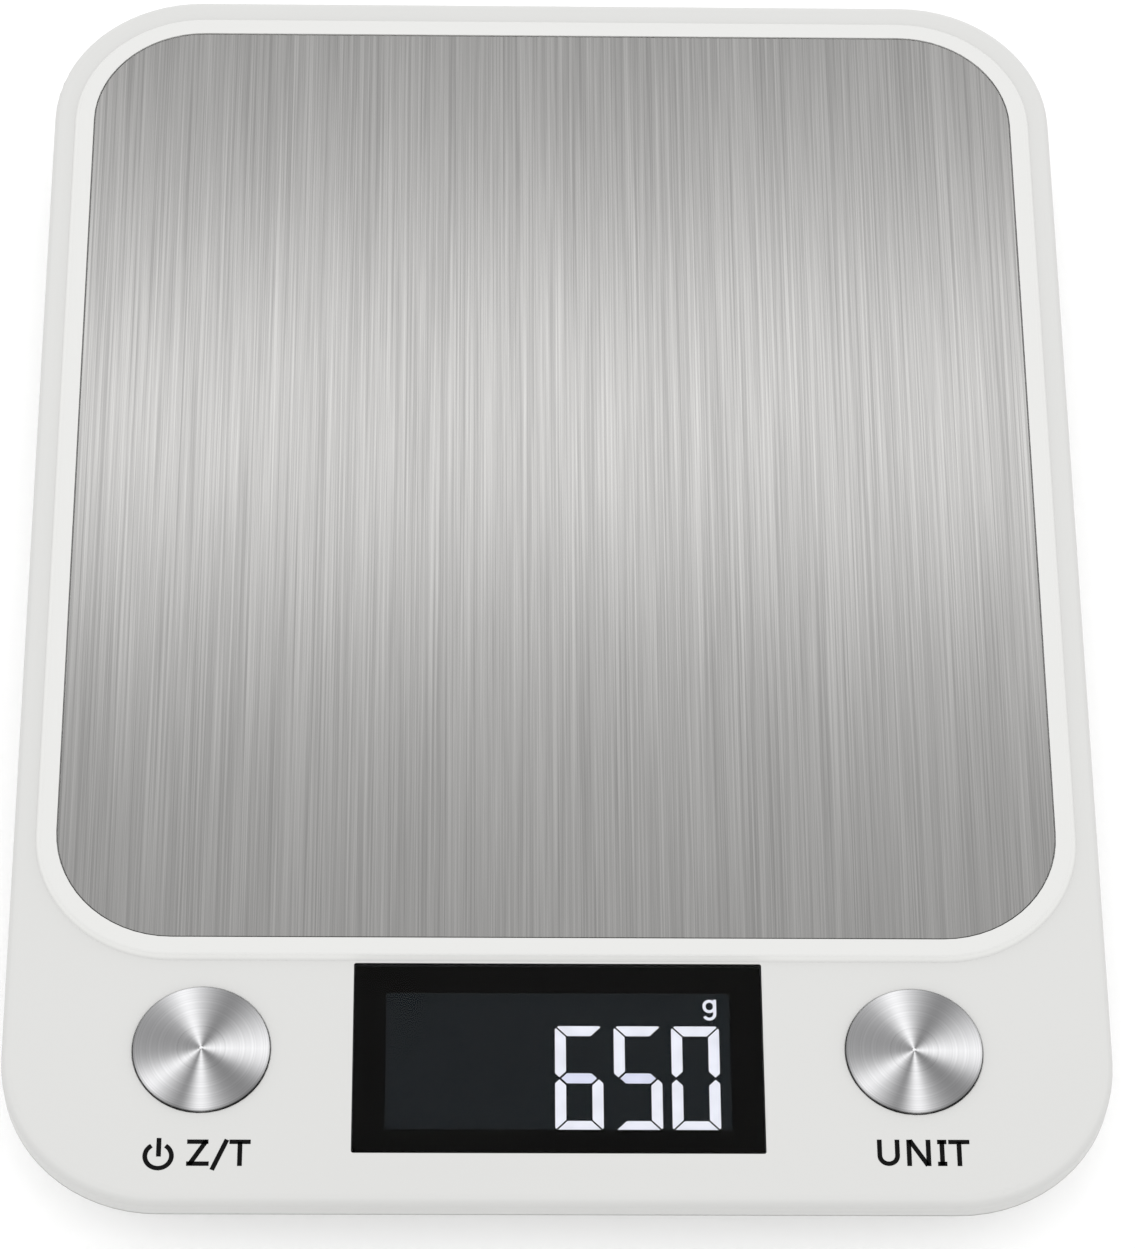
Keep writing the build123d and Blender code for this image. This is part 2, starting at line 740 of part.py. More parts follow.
def make_retainer(corner):
    """The plastic frame that holds a load cell down, with a gap for its wires and two screwed ears."""
    x, y = foot_centre(corner)
    side = foot_corners[corner][0]
    with BuildPart() as cell_retainer:
        with BuildSketch(Plane.XY.offset(floor_z)):
            with Locations((x, y)):
                Rectangle(retainer_size, retainer_size)
        extrude(amount=retainer_top_z - floor_z)
        with BuildSketch(Plane.XY.offset(cell_top_z)):
            with Locations(*ear_points(corner)):
                Rectangle(2 * ear_radius, 2 * ear_radius)
        extrude(amount=retainer_top_z - cell_top_z)
        with BuildSketch(Plane.XY.offset(floor_z)):
            with Locations((x, y)):
                Rectangle(cell_size + 2 * retainer_gap, cell_size + 2 * retainer_gap)
        extrude(amount=cell_top_z - floor_z, mode=Mode.SUBTRACT)
        with BuildSketch(Plane.XY.offset(cell_top_z)):
            with Locations((x, y)):
                Rectangle(cell_size - 2 * retainer_lip, cell_size - 2 * retainer_lip)
            with Locations((x - side * retainer_size / 2, y)):
                Rectangle(2 * retainer_lip + retainer_size - cell_size, retainer_notch)
            with Locations(*ear_points(corner)):
                Circle(ear_screw_radius)
        extrude(amount=retainer_top_z - cell_top_z, mode=Mode.SUBTRACT)
    save(cell_retainer.part, f"cell_retainer_{corner}")


def make_sensor_leads(corner):
    """Three thin wires side by side, from a strain gauge to the underside of the main board."""
    side, end = foot_corners[corner]
    x, y = foot_centre(corner)
    wire_z = lower_rib_top_z + sensor_wire
    start_x = x - side * gauge_offset
    with BuildPart() as sensor_leads:
        for number in (-1, 0, 1):
            shift = number * sensor_pitch
            if end > 0:
                lane = side * (sensor_lane_x - shift)
                pad = side * (sensor_pad_x - shift)
                points = [
                    (start_x, y + shift, wire_z),
                    (lane, y + shift, wire_z),
                    (lane, sensor_turn_y, wire_z),
                    (pad, wire_line_y, wire_z),
                    (pad, wire_pad_y, wire_z),
                    (pad, wire_pad_y, board_z),
                ]
                radii = [sensor_bend - shift / 2] + 2 * [sensor_bend] + [sensor_rise_bend]
            else:
                pad = side * (sensor_front_pad_x - shift)
                points = [(start_x, y + shift, wire_z), (pad, y + shift, wire_z), (pad, y + shift, board_z)]
                radii = [sensor_rise_bend]
            with BuildLine() as route:
                FilletPolyline(*points, radius=radii)
            with BuildSketch(Plane(origin=route.line @ 0, z_dir=route.line % 0)):
                Circle(sensor_wire)
            sweep(path=route.line)
    save(sensor_leads.part, f"sensor_leads_{corner}")


for corner_name in foot_corners:
    make_foot(corner_name)
    make_load_cell(corner_name)
    make_retainer(corner_name)
    make_sensor_leads(corner_name)


# ---------------------------------------------------------------- battery bay
def make_battery(number, y, direction):
    """A size AAA cell lying along X, its button end pointing in the given direction."""
    button_end_x = direction * (bay_half_length - contact_thickness - contact_bump_height)
    far_end_x = button_end_x - direction * battery_length
    can_length = battery_length - battery_nub_length
    with BuildPart() as battery_cell:
        with BuildSketch(Plane.YZ.offset(far_end_x)):
            with Locations((y, battery_z)):
                Circle(battery_radius)
        extrude(amount=direction * can_length)
        fillet(battery_cell.edges().filter_by(GeomType.CIRCLE), radius=battery_round)
        with BuildSketch(Plane.YZ.offset(button_end_x)):
            with Locations((y, battery_z)):
                Circle(battery_nub_radius)
        extrude(amount=-direction * battery_nub_length)
    save(battery_cell.part, f"battery_cell_{number}")


def make_contact(name, direction, plate_y, plate_width_y, spring_y=None, bump_y=None, tail_y=None):
    """A contact plate on the bay's end wall, with a coil spring, a raised bump or a solder tail."""
    wall_x = direction * bay_half_length
    face_x = wall_x - direction * contact_thickness
    button_end_x = face_x - direction * contact_bump_height
    can_end_x = direction * (battery_length - bay_half_length + contact_thickness + contact_bump_height)
    with BuildPart() as contact:
        with BuildSketch(Plane.YZ.offset(face_x)):
            with Locations((plate_y, contact_bottom_z + contact_height / 2)):
                Rectangle(plate_width_y, contact_height)
        extrude(amount=direction * contact_thickness)
        if bump_y is not None:
            with BuildSketch(Plane.YZ.offset(face_x)):
                with Locations((bump_y, battery_z)):
                    Circle(contact_bump_radius)
            with BuildSketch(Plane.YZ.offset(button_end_x)):
                with Locations((bump_y, battery_z)):
                    Circle(contact_bump_tip_radius)
            loft()
        if tail_y is not None:
            with BuildSketch(Plane.YZ.offset(wall_x)):
                with Locations((tail_y, lower_rib_top_z + power_wire)):
                    Rectangle(contact_tail_width, contact_tail_height)
            extrude(amount=direction * contact_tail_length)
        if spring_y is not None:
            coil_length = abs(face_x - can_end_x) - 2 * spring_wire
            coil = Helix(
                pitch=coil_length / spring_turns,
                height=coil_length,
                radius=spring_radius,
                center=(face_x - direction * spring_wire, spring_y, battery_z),
                direction=(-direction, 0, 0),
                cone_angle=spring_cone,
                mode=Mode.PRIVATE,
            )
            with BuildSketch(Plane(origin=coil @ 0, z_dir=coil % 0)):
                Circle(spring_wire)
            sweep(path=coil, is_frenet=True)
    save(contact.part, name)


def make_power_lead(tail_y, lane_x, turn_y, pad_x, line_y):
    """One insulated wire from a contact's solder tail to the underside of the main board."""
    wire_z = lower_rib_top_z + power_wire
    start_x = -bay_half_length - contact_tail_length
    points = [
        (start_x, tail_y, wire_z),
        (lane_x, tail_y, wire_z),
        (lane_x, turn_y, wire_z),
        (pad_x, line_y, wire_z),
        (pad_x, wire_pad_y, wire_z),
        (pad_x, wire_pad_y, board_z),
    ]
    with BuildPart() as power_lead:
        with BuildLine() as route:
            FilletPolyline(*points, radius=3 * [power_bend] + [power_rise_bend])
        with BuildSketch(Plane(origin=route.line @ 0, z_dir=route.line % 0)):
            Circle(power_wire)
        sweep(path=route.line)
    return power_lead.part


first_line, second_line = battery_lines
make_battery(1, first_line, 1)
make_battery(2, second_line, -1)
make_contact(
    "contact_bridge", 1, bay_y, battery_spacing + contact_width, spring_y=second_line, bump_y=first_line
)
make_contact("contact_negative", -1, first_line, contact_width, spring_y=first_line, tail_y=first_line)
make_contact("contact_positive", -1, second_line, contact_width, bump_y=second_line, tail_y=second_line)

with BuildPart() as battery_leads:
    for places in zip(battery_lines, power_lane_x, power_turn_y, power_pad_x, power_line_y):
        add(make_power_lead(*places))
save(battery_leads.part, "battery_leads")

with BuildPart() as battery_door:
    with BuildSketch(Plane.XY.offset(underside_z)):
        with Locations(((door_hinge_x + door_end_x) / 2, bay_y)):
            Rectangle(door_end_x - door_hinge_x, 2 * door_half_width)
    extrude(amount=door_thickness)
    fillet(battery_door.edges().filter_by(Axis.Z).group_by(Axis.X)[-1], radius=door_corner)
    with BuildSketch(Plane.XZ.offset(-bay_y)):
        with Locations((door_hinge_x, door_hinge_z)):
            Circle(door_barrel_radius)
    extrude(amount=door_half_width, both=True)
    with BuildSketch(Plane.XZ.offset(-bay_y)):
        with Locations((door_hinge_x, door_hinge_z)):
            Circle(hinge_pin_radius)
    extrude(amount=door_half_width + hinge_pin_length, both=True)
    with BuildSketch(Plane.XY.offset(underside_z)):
        with Locations((grip_x, bay_y)):
            with GridLocations(grip_pitch, 0, grip_count, 1):
                Rectangle(grip_width, grip_length)
    extrude(amount=grip_depth, mode=Mode.SUBTRACT)
save(battery_door.part, "battery_door")
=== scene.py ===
"""Kitchen scale: visual model, floor, lights and camera. Metres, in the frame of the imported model."""
import json
import math

import bmesh
import bpy
import numpy as np
from mathutils import Matrix, Vector


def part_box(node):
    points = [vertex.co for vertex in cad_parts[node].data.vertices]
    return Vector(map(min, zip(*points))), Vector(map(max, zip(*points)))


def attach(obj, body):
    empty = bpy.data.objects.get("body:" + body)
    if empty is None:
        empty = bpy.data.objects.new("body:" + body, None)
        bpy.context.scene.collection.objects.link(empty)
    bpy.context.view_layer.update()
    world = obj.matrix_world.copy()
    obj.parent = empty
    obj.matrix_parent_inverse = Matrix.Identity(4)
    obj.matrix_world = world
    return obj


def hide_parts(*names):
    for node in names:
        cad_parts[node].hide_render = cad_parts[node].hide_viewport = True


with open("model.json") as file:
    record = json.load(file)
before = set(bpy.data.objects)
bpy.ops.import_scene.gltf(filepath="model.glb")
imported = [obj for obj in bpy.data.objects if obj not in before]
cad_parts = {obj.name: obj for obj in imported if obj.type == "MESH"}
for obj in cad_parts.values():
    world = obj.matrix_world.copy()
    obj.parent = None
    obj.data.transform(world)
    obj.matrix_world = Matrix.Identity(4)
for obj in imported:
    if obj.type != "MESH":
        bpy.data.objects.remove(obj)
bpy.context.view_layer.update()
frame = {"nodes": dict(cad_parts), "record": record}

NODES = frame["nodes"]
MM = 0.001
CORNERS = ("front_left", "front_right", "rear_left", "rear_right")
SIDES = ("left", "right")


# ---------------------------------------------------------------- camera
LENS_MM = 141.97
SENSOR_MM = 36.0
TARGET = Vector((2.414, -2.863, 0.0)) * MM
DISTANCE = 857.33 * MM
ELEVATION = math.radians(59.30)
AZIMUTH = math.radians(-2.326)
ROLL = math.radians(2.280)


def make_camera():
    """The camera looks at TARGET from DISTANCE away, turned about its own axis by ROLL."""
    flat = math.cos(ELEVATION)
    back = Vector((math.sin(AZIMUTH) * flat, -math.cos(AZIMUTH) * flat, math.sin(ELEVATION)))
    right = (-back).cross(Vector((0, 0, 1))).normalized()
    up = right.cross(-back)
    turned_right = right * math.cos(ROLL) + up * math.sin(ROLL)
    turned_up = up * math.cos(ROLL) - right * math.sin(ROLL)
    data = bpy.data.cameras.new("camera")
    data.lens = LENS_MM
    data.sensor_width = SENSOR_MM
    camera = bpy.data.objects.new("camera", data)
    bpy.context.scene.collection.objects.link(camera)
    turn = Matrix((turned_right, turned_up, back)).transposed().to_4x4()
    camera.matrix_world = Matrix.Translation(TARGET + back * DISTANCE) @ turn
    bpy.context.scene.camera = camera


# ---------------------------------------------------------------- floor and light
FLOOR_SIZE = 6.0
FLOOR_PALE = (0.93, 0.93, 0.93)
FLOOR_GLOW = 0.07
WHITE = (1.0, 1.0, 1.0, 1.0)
WORLD_STRENGTH = 1.2
STRIP_PLACE = (0.0, 1.0, 1.5)
STRIP_WIDTH = 1.3
STRIP_DEPTH = 0.15
STRIP_POWER = 1.75


def make_floor():
    """A flat square under the feet."""
    half = FLOOR_SIZE / 2
    mesh = bpy.data.meshes.new("floor")
    corners = [(-half, -half, 0), (half, -half, 0), (half, half, 0), (-half, half, 0)]
    mesh.from_pydata(corners, [], [(0, 1, 2, 3)])
    floor = bpy.data.objects.new("floor", mesh)
    bpy.context.scene.collection.objects.link(floor)
    finish = plain_material("pale_floor", FLOOR_PALE, 0.9, Emission_Color=WHITE, Emission_Strength=FLOOR_GLOW)
    mesh.materials.append(finish)


def softbox(name, place, aim, width, depth, power):
    """A rectangular area light at a place, facing a point."""
    data = bpy.data.lights.new(name, "AREA")
    data.shape = "RECTANGLE"
    data.size = width
    data.size_y = depth
    data.energy = power
    light = bpy.data.objects.new(name, data)
    bpy.context.scene.collection.objects.link(light)
    place = Vector(place)
    turn = (place - Vector(aim)).to_track_quat("Z", "Y").to_matrix().to_4x4()
    light.matrix_world = Matrix.Translation(place) @ turn


def make_lights():
    """An even pale surround, and a long strip above and beyond the far end."""
    world = bpy.data.worlds.new("surround")
    world.use_nodes = True
    background = world.node_tree.nodes["Background"]
    background.inputs["Color"].default_value = WHITE
    background.inputs["Strength"].default_value = WORLD_STRENGTH
    bpy.context.scene.world = world
    softbox("far_strip", STRIP_PLACE, (0, 0, 0), STRIP_WIDTH, STRIP_DEPTH, STRIP_POWER)
    bpy.context.scene.view_settings.view_transform = "Standard"


# ---------------------------------------------------------------- materials
def plain_material(name, color, roughness=0.5, metallic=0.0, **sockets):
    """A principled material with the same values all over; extra sockets are given with _ for each space."""
    made = bpy.data.materials.new(name)
    made.use_nodes = True
    shader = made.node_tree.nodes["Principled BSDF"]
    shader.inputs["Base Color"].default_value = (*color, 1.0)
    shader.inputs["Roughness"].default_value = roughness
    shader.inputs["Metallic"].default_value = metallic
    for socket, value in sockets.items():
        shader.inputs[socket.replace("_", " ")].default_value = value
    return made


def noise(made, scale, detail=3.0, roughness=0.5):
    """Noise on Object coordinates, stretched by a scale for each axis in waves per metre."""
    nodes, links = made.node_tree.nodes, made.node_tree.links
    coordinates = nodes.new("ShaderNodeTexCoord")
    mapping = nodes.new("ShaderNodeMapping")
    mapping.inputs["Scale"].default_value = scale
    texture = nodes.new("ShaderNodeTexNoise")
    texture.inputs["Scale"].default_value = 1.0
    texture.inputs["Detail"].default_value = detail
    texture.inputs["Roughness"].default_value = roughness
    links.new(coordinates.outputs["Object"], mapping.inputs["Vector"])
    links.new(mapping.outputs["Vector"], texture.inputs["Vector"])
    return texture.outputs["Fac"]


def ranged(made, value, low, high, start=0.3, end=0.7):
    """A value from start to end spread over low to high."""
    spread = made.node_tree.nodes.new("ShaderNodeMapRange")
    spread.inputs["From Min"].default_value = start
    spread.inputs["From Max"].default_value = end
    spread.inputs["To Min"].default_value = low
    spread.inputs["To Max"].default_value = high
    made.node_tree.links.new(value, spread.inputs["Value"])
    return spread.outputs["Result"]


def mixed(made, value, first, second):
    """A colour between two, by a value from 0 to 1. Either colour may itself be an output."""
    mix = made.node_tree.nodes.new("ShaderNodeMix")
    mix.data_type = "RGBA"
    made.node_tree.links.new(value, mix.inputs["Factor"])
    for socket, color in ((mix.inputs[6], first), (mix.inputs[7], second)):
        if isinstance(color, tuple):
            socket.default_value = (*color, 1.0)
        else:
            made.node_tree.links.new(color, socket)
    return mix.outputs[2]


def combined(made, operation, first, second):
    """Two values put together by a math operation."""
    math_node = made.node_tree.nodes.new("ShaderNodeMath")
    math_node.operation = operation
    for socket, value in zip(math_node.inputs, (first, second)):
        if isinstance(value, (int, float)):
            socket.default_value = value
        else:
            made.node_tree.links.new(value, socket)
    return math_node.outputs["Value"]


def set_socket(made, socket, value):
    """Drive a shader socket by an output."""
    made.node_tree.links.new(value, made.node_tree.nodes["Principled BSDF"].inputs[socket])


def set_bump(made, height, strength, depth):
    """Raise the surface by a height output, depth in metres."""
    bump = made.node_tree.nodes.new("ShaderNodeBump")
    bump.inputs["Strength"].default_value = strength
    bump.inputs["Distance"].default_value = depth
    made.node_tree.links.new(height, bump.inputs["Height"])
    set_socket(made, "Normal", bump.outputs["Normal"])


def coordinate(made, axis):
    """One Object coordinate of the surface, as an output."""
    nodes, links = made.node_tree.nodes, made.node_tree.links
    source = nodes.new("ShaderNodeTexCoord")
    split = nodes.new("ShaderNodeSeparateXYZ")
    links.new(source.outputs["Object"], split.inputs["Vector"])
    return split.outputs[axis]


def moulded_plastic(name, color, roughness, grain=900.0, depth=0.000012, cloud=0.03, **sockets):
    """Moulded plastic: a fine orange-peel grain, faint clouds in its colour and uneven gloss."""
    made = plain_material(name, color, roughness, **sockets)
    clouds = noise(made, (14.0, 14.0, 14.0), detail=2.0)
    dark = tuple(c * (1 - cloud) for c in color)
    light = tuple(min(1.0, c * (1 + cloud)) for c in color)
    set_socket(made, "Base Color", mixed(made, ranged(made, clouds, 0.0, 1.0), dark, light))
    grains = noise(made, (grain, grain, grain), detail=2.0)
    set_socket(made, "Roughness", ranged(made, grains, roughness * 0.88, roughness * 1.12))
    set_bump(made, grains, 0.35, depth)
    return made


# The case's plastic on the panel, and the same plastic painted paler as light on the flat of the raised rim and
# on the slope between them
CASE_WHITE = (0.608, 0.608, 0.597)
RIM_PAINTED_LIGHT = (0.662, 0.662, 0.650)
SLOPE_PAINTED_LIGHT = (0.715, 0.715, 0.700)
# Depths below the rim's top where the panel passes into the slope, and the slope into the flat
SLOPE_FOOT, SLOPE_WAIST = 0.97 * MM, 0.55 * MM
SLOPE_SHOULDER, SLOPE_CREST = 0.30 * MM, 0.04 * MM
# Painted shade darkening the outer edge, and black painted shade in the recess that the display window sits in
EDGE_SHADE = 0.87
EDGE_WIDTH = 1.0 * MM
CORNER_RADIUS = 26.0 * MM
RECESS_PAINTED_SHADE = (0.006, 0.006, 0.006)
RECESS_MARGIN = 0.3 * MM
RECESS_LIP = 0.1 * MM
RECESS_DEPTH = 4.0 * MM


def inset_from_outline(made):
    """Distance in from the case's rounded outline: the corner radius less the reach past the corner centres."""
    low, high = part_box("top_cover")
    nodes, links = made.node_tree.nodes, made.node_tree.links
    vector = nodes.new("ShaderNodeTexCoord").outputs["Object"]
    inner = (high.x - CORNER_RADIUS, high.y - CORNER_RADIUS, 0.0)
    steps = (("ABSOLUTE", None), ("SUBTRACT", inner), ("MAXIMUM", (0, 0, 0)), ("MULTIPLY", (1, 1, 0)))
    for operation, other in steps:
        step = nodes.new("ShaderNodeVectorMath")
        step.operation = operation
        links.new(vector, step.inputs[0])
        if other is not None:
            step.inputs[1].default_value = other
        vector = step.outputs["Vector"]
    reach = nodes.new("ShaderNodeVectorMath")
    reach.operation = "LENGTH"
    links.new(vector, reach.inputs[0])
    return combined(made, "SUBTRACT", CORNER_RADIUS, reach.outputs["Value"])


def within(made, axis, middle, reach):
    """1 where a coordinate is less than a reach away from a middle, else 0."""
    offset = combined(made, "SUBTRACT", coordinate(made, axis), middle)
    return combined(made, "LESS_THAN", combined(made, "ABSOLUTE", offset, 0.0), reach)


def window_recess(made):
    """1 on the walls of the display window's recess, from a lip below the panel down, else 0: where black shade
    is painted.
    """
    low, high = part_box("display_lens")
    middle, half = (low + high) / 2, (high - low) / 2
    across = within(made, "X", middle.x, half.x + RECESS_MARGIN)
    along = within(made, "Y", middle.y, half.y + RECESS_MARGIN)
    deep = within(made, "Z", high.z - RECESS_LIP - RECESS_DEPTH / 2, RECESS_DEPTH / 2)
    return combined(made, "MULTIPLY", combined(made, "MULTIPLY", across, along), deep)


def case_material():
    """The case's off-white plastic, with painted light on the raised rim, painted shade at its outline and
    black painted shade in the window's recess.
    """
    made = plain_material("case_plastic", CASE_WHITE, 0.42, Specular_IOR_Level=0.35)
    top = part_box("top_cover")[1].z
    clouds = noise(made, (9.0, 9.0, 9.0), detail=2.0)
    z = coordinate(made, "Z")
    # Painted light: the rim's flat and its slope are made paler than the panel, though they are the same
    # plastic
    raised = ranged(made, z, 0.0, 1.0, top - SLOPE_FOOT, top - SLOPE_WAIST)
    sloping = ranged(made, z, 1.0, 0.0, top - SLOPE_SHOULDER, top - SLOPE_CREST)
    warm = tuple(c * 0.985 for c in CASE_WHITE)
    body = mixed(made, ranged(made, clouds, 0.0, 1.0), warm, CASE_WHITE)
    rim = mixed(made, sloping, RIM_PAINTED_LIGHT, SLOPE_PAINTED_LIGHT)
    finish = mixed(made, raised, body, rim)
    # Painted shade: the colour darkens towards the case's outline
    edge = ranged(made, inset_from_outline(made), EDGE_SHADE, 1.0, 0.0, EDGE_WIDTH)
    finish = mixed(made, edge, (0.0, 0.0, 0.0), finish)
    # Painted shade: the walls of the window's recess are painted black
    set_socket(made, "Base Color", mixed(made, window_recess(made), finish, RECESS_PAINTED_SHADE))
    grains = noise(made, (1100.0, 1100.0, 1100.0), detail=2.0)
    set_socket(made, "Roughness", ranged(made, grains, 0.38, 0.46))
    set_bump(made, grains, 0.3, 0.000008)
    return made


def follow_uv(made):
    """Stretch the highlight along the piece's U direction."""
    tangent = made.node_tree.nodes.new("ShaderNodeTangent")
    tangent.direction_type = "UV_MAP"
    tangent.uv_map = "grain"
    set_socket(made, "Tangent", tangent.outputs["Tangent"])


# The brushed plate's colours, and its streaks in waves per metre along and across the brushing
PLATE_DARK = (0.191, 0.189, 0.186)
PLATE_LIGHT = (0.293, 0.290, 0.285)
BRUSH_RUN = 14.0
BRUSH_COARSE = 650.0
BRUSH_FINE = 3500.0
COARSE_SHARE = 0.17


def plate_material():
    """The weighing plate: stainless sheet brushed from end to end, streaked in colour, gloss and relief."""
    made = plain_material("brushed_plate", PLATE_LIGHT, 0.34, 1.0, Anisotropic=0.7)
    fine = noise(made, (BRUSH_FINE, BRUSH_RUN, BRUSH_FINE), detail=4.0, roughness=0.65)
    coarse = noise(made, (BRUSH_COARSE, BRUSH_RUN, BRUSH_COARSE), detail=3.0, roughness=0.6)
    streaks = combined(made, "ADD", combined(made, "MULTIPLY", fine, 1.0 - COARSE_SHARE),
                       combined(made, "MULTIPLY", coarse, COARSE_SHARE))
    tone = ranged(made, streaks, 0.0, 1.0, 0.36, 0.64)
    set_socket(made, "Base Color", mixed(made, tone, PLATE_DARK, PLATE_LIGHT))
    set_socket(made, "Roughness", ranged(made, streaks, 0.26, 0.24))
    set_bump(made, fine, 0.10, 0.000006)
    follow_uv(made)
    return made


# Highlights and shade painted into the caps' colour: angle in degrees about a cap, anticlockwise from the
# right, and the metal's painted brightness there
CAP_PAINTED_HIGHLIGHTS = (
    (0, 0.78), (18, 0.58), (38, 0.33), (60, 0.14), (78, 0.28), (93, 0.50),
    (107, 0.79), (119, 0.57), (135, 0.28), (158, 0.23), (185, 0.27), (201, 0.42),
    (217, 0.80), (230, 0.52), (246, 0.22), (257, 0.19), (270, 0.88), (283, 0.40),
    (298, 0.22), (315, 0.165), (330, 0.27), (345, 0.64), (360, 0.78),
)
SPUN_RINGS = 30.0
RING_DARKEN = 0.80


def spun_material():
    """Spun aluminium: fine rings, and wedges of painted highlight and shade in its colour, read from the cap's
    radius and angle map.
    """
    made = plain_material("spun_aluminium", (0.72, 0.72, 0.735), 0.27, 1.0, Anisotropic=0.6)
    nodes, links = made.node_tree.nodes, made.node_tree.links
    source = nodes.new("ShaderNodeUVMap")
    source.uv_map = "grain"
    split = nodes.new("ShaderNodeSeparateXYZ")
    links.new(source.outputs["UV"], split.inputs["Vector"])
    # This ramp paints highlights and shade into the metal's colour, by angle about the cap
    wedges = nodes.new("ShaderNodeValToRGB")
    ramp = wedges.color_ramp
    ramp.interpolation = "B_SPLINE"
    while len(ramp.elements) < len(CAP_PAINTED_HIGHLIGHTS):
        ramp.elements.new(0.5)
    for stop, (angle, bright) in zip(ramp.elements, CAP_PAINTED_HIGHLIGHTS):
        stop.position = angle / 360
        stop.color = (bright, bright, bright * 1.015, 1.0)
    links.new(split.outputs["Y"], wedges.inputs["Fac"])
    mapping = nodes.new("ShaderNodeMapping")
    mapping.inputs["Scale"].default_value = (SPUN_RINGS, 0.0, 1.0)
    texture = nodes.new("ShaderNodeTexNoise")
    texture.inputs["Scale"].default_value = 1.0
    texture.inputs["Detail"].default_value = 3.0
    links.new(source.outputs["UV"], mapping.inputs["Vector"])
    links.new(mapping.outputs["Vector"], texture.inputs["Vector"])
    rings = texture.outputs["Fac"]
    darker = nodes.new("ShaderNodeVectorMath")
    darker.operation = "SCALE"
    darker.inputs["Scale"].default_value = RING_DARKEN
    links.new(wedges.outputs["Color"], darker.inputs[0])
    finish = mixed(made, ranged(made, rings, 0.0, 1.0), darker.outputs["Vector"], wedges.outputs["Color"])
    set_socket(made, "Base Color", finish)
    set_socket(made, "Roughness", ranged(made, rings, 0.26, 0.36))
    follow_uv(made)
    return made


def wire_material(name, color):
    """Insulated wire: smooth plastic with faint clouds."""
    return moulded_plastic(name, color, 0.35, grain=2500.0, depth=0.000004, cloud=0.08)


def metal_material(name, dark, light, roughness=0.32):
    """Plated or bare small metal parts: blotchy colour, uneven gloss and fine tool marks."""
    made = plain_material(name, light, roughness, 1.0)
    blotches = noise(made, (260.0, 260.0, 260.0), detail=3.0)
    set_socket(made, "Base Color", mixed(made, ranged(made, blotches, 0.0, 1.0), dark, light))
    marks = noise(made, (3500.0, 900.0, 3500.0), detail=2.0)
    set_socket(made, "Roughness", ranged(made, marks, roughness * 0.8, roughness * 1.25))
    set_bump(made, marks, 0.2, 0.000006)
    return made


def rubber_material(name, color):
    """Soft rubber: dull, with a coarse grain."""
    return moulded_plastic(name, color, 0.75, grain=1600.0, depth=0.00003, cloud=0.08)


def board_material():
    """Green solder mask over copper tracks, which show as slightly paler lines."""
    made = plain_material("circuit_board", (0.015, 0.13, 0.045), 0.35)
    nodes, links = made.node_tree.nodes, made.node_tree.links
    coordinates = nodes.new("ShaderNodeTexCoord")
    tracks = nodes.new("ShaderNodeTexBrick")
    tracks.inputs["Scale"].default_value = 160.0
    tracks.inputs["Mortar Size"].default_value = 0.03
    tracks.inputs["Color1"].default_value = (0.013, 0.12, 0.04, 1.0)
    tracks.inputs["Color2"].default_value = (0.017, 0.14, 0.05, 1.0)
    tracks.inputs["Mortar"].default_value = (0.03, 0.22, 0.08, 1.0)
    links.new(coordinates.outputs["Object"], tracks.inputs["Vector"])
    set_socket(made, "Base Color", tracks.outputs["Color"])
    return made


def lens_material():
    """Clear sheet with almost no reflection of its own, under a faint hard coat with smears."""
    clear = {"Transmission_Weight": 1.0, "IOR": 1.04, "Coat_Weight": 0.15}
    made = plain_material("clear_lens", (0.93, 0.94, 0.95), 0.02, **clear)
    smears = noise(made, (60.0, 60.0, 60.0), detail=3.0)
    set_socket(made, "Coat Roughness", ranged(made, smears, 0.03, 0.09))
    return made


def ink_material(name, color):
    """Screen-printed ink: flat, with a faint mesh grain."""
    return moulded_plastic(name, color, 0.6, grain=4000.0, depth=0.000003, cloud=0.1, Specular_IOR_Level=0.03)


def lcd_material():
    """The dark face of a negative LCD: a blue-grey glow leaks evenly through it."""
    glow = (0.27, 0.67, 1.0, 1.0)
    dark = (0.001, 0.0012, 0.0013)
    made = plain_material("lcd_face", dark, 0.30, Emission_Color=glow, Specular_IOR_Level=0.0)
    leak = noise(made, (30.0, 30.0, 30.0), detail=1.0)
    set_socket(made, "Emission Strength", ranged(made, leak, 0.0036, 0.0042))
    return made


def lit_material(name, color):
    """Lit segments: cool white, slightly uneven as the light guide is."""
    made = plain_material(name, (0.05, 0.05, 0.05), 0.5, Emission_Color=(*color, 1.0), Specular_IOR_Level=0.0)
    glow = noise(made, (350.0, 350.0, 350.0), detail=1.0)
    set_socket(made, "Emission Strength", ranged(made, glow, 0.94, 1.03))
    return made


def battery_material():
    """The dark glossy wrap of a battery cell, with light scuffs."""
    made = plain_material("battery_wrap", (0.03, 0.035, 0.04), 0.3)
    scuffs = noise(made, (500.0, 500.0, 500.0), detail=3.0)
    set_socket(made, "Roughness", ranged(made, scuffs, 0.24, 0.40))
    return made


# ---------------------------------------------------------------- mesh makers
def link_piece(name, mesh, material, body, smooth_angle=None):
    """Put a mesh in the scene with its material, riding on a body."""
    piece = bpy.data.objects.new(name, mesh)
    bpy.context.scene.collection.objects.link(piece)
    mesh.materials.append(material)
    if smooth_angle is not None:
        mesh.shade_smooth()
        edges = bmesh.new()
        edges.from_mesh(mesh)
        for edge in edges.edges:
            shared = len(edge.link_faces) == 2
            edge.smooth = shared and edge.calc_face_angle() < math.radians(smooth_angle)
        edges.to_mesh(mesh)
        edges.free()
        weight = piece.modifiers.new("even_normals", "WEIGHTED_NORMAL")
        weight.keep_sharp = True
    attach(piece, body)
    return piece


